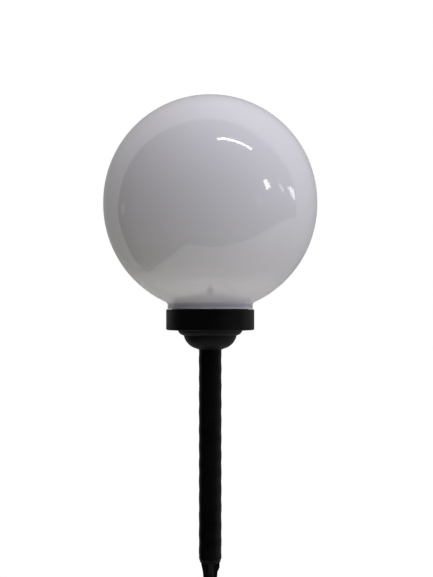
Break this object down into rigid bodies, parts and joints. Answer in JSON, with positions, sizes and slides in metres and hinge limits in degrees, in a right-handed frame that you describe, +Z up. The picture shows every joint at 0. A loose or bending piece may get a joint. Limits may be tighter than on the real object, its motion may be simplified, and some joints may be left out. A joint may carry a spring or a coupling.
{
  "type": "garden globe light",
  "caption": "Solar garden light: opal ball screwed into a black collar on a stepped cup, on a push-fit pole with a ground spike.",
  "frame": {"origin": "on the pole's axis at ground level, where the pole's foot stands on the spike's flange", "axes": "+Z up along the pole towards the globe; -Y is the side that the picture shows"},
  "size_m": [0.2, 0.2, 0.5526],
  "materials": {
    "opal_plastic": "glossy translucent opal",
    "collar_plastic": "satin moulded black",
    "cup_plastic": "satin moulded black, a little greyer",
    "pole_plastic": "satin black tube",
    "spike_plastic": "satin moulded black",
    "housing_plastic": "satin moulded black",
    "seal_rubber": "soft rubber",
    "clear_plastic": "clear moulded",
    "panel_board": "coated board",
    "solar_cell": "dark blue silicon",
    "led_resin": "clear resin",
    "white_plastic": "moulded white",
    "green_board": "solder mask",
    "component_black": "moulded",
    "screw_steel": "zinc plated",
    "battery_sleeve": "shrink sleeve",
    "holder_plastic": "moulded",
    "contact_steel": "nickel plated",
    "switch_black": "moulded",
    "lead_red": "soft insulation",
    "lead_black": "soft insulation"
  },
  "bodies": {
    "spike": {"ground_spike": "spike_plastic"},
    "pole": {"pole_tube": "pole_plastic"},
    "head": {"base_cup": "cup_plastic", "collar_ring": "collar_plastic", "solar_housing": "housing_plastic", "solar_panel": "panel_board", "solar_cells": "solar_cell", "dome_cover": "clear_plastic", "led": "led_resin", "led_spacer": "white_plastic", "circuit_board": "green_board", "board_components": "component_black", "housing_screws": "screw_steel", "board_screws": "screw_steel", "battery": "battery_sleeve", "battery_holder": "holder_plastic", "battery_plate": "contact_steel", "battery_spring_plate": "contact_steel", "battery_spring": "contact_steel", "switch_body": "switch_black", "battery_lead_red": "lead_red", "battery_lead_black": "lead_black", "panel_lead_red": "lead_red", "panel_lead_black": "lead_black", "switch_leads": "lead_red"},
    "seal": {"neck_seal": "seal_rubber"},
    "globe": {"globe": "opal_plastic"},
    "switch": {"switch_slider": "white_plastic"}
  },
  "joints": [
    {"name": "pole_pull", "type": "slide", "parent": "spike", "child": "pole", "axis": [0, 0, 1], "range_m": [0, 0.04]},
    {"name": "head_pull", "type": "slide", "parent": "pole", "child": "head", "axis": [0, 0, 1], "range_m": [0, 0.025]},
    {"name": "globe_rise", "type": "slide", "parent": "head", "child": "seal", "axis": [0, 0, 1], "range_m": [0, 0.0066]},
    {"name": "globe_turn", "type": "hinge", "parent": "seal", "child": "globe", "pos_m": [0, 0, 0.2228], "axis": [0, 0, 1], "range_deg": [0, 468]},
    {"name": "switch_slide", "type": "slide", "parent": "head", "child": "switch", "axis": [1, 0, 0], "range_m": [0, 0.003]}
  ],
  "couplings": [
    {"joint": "globe_rise", "follows": "globe_turn", "m_per_rad": 0.00079577}
  ]
}
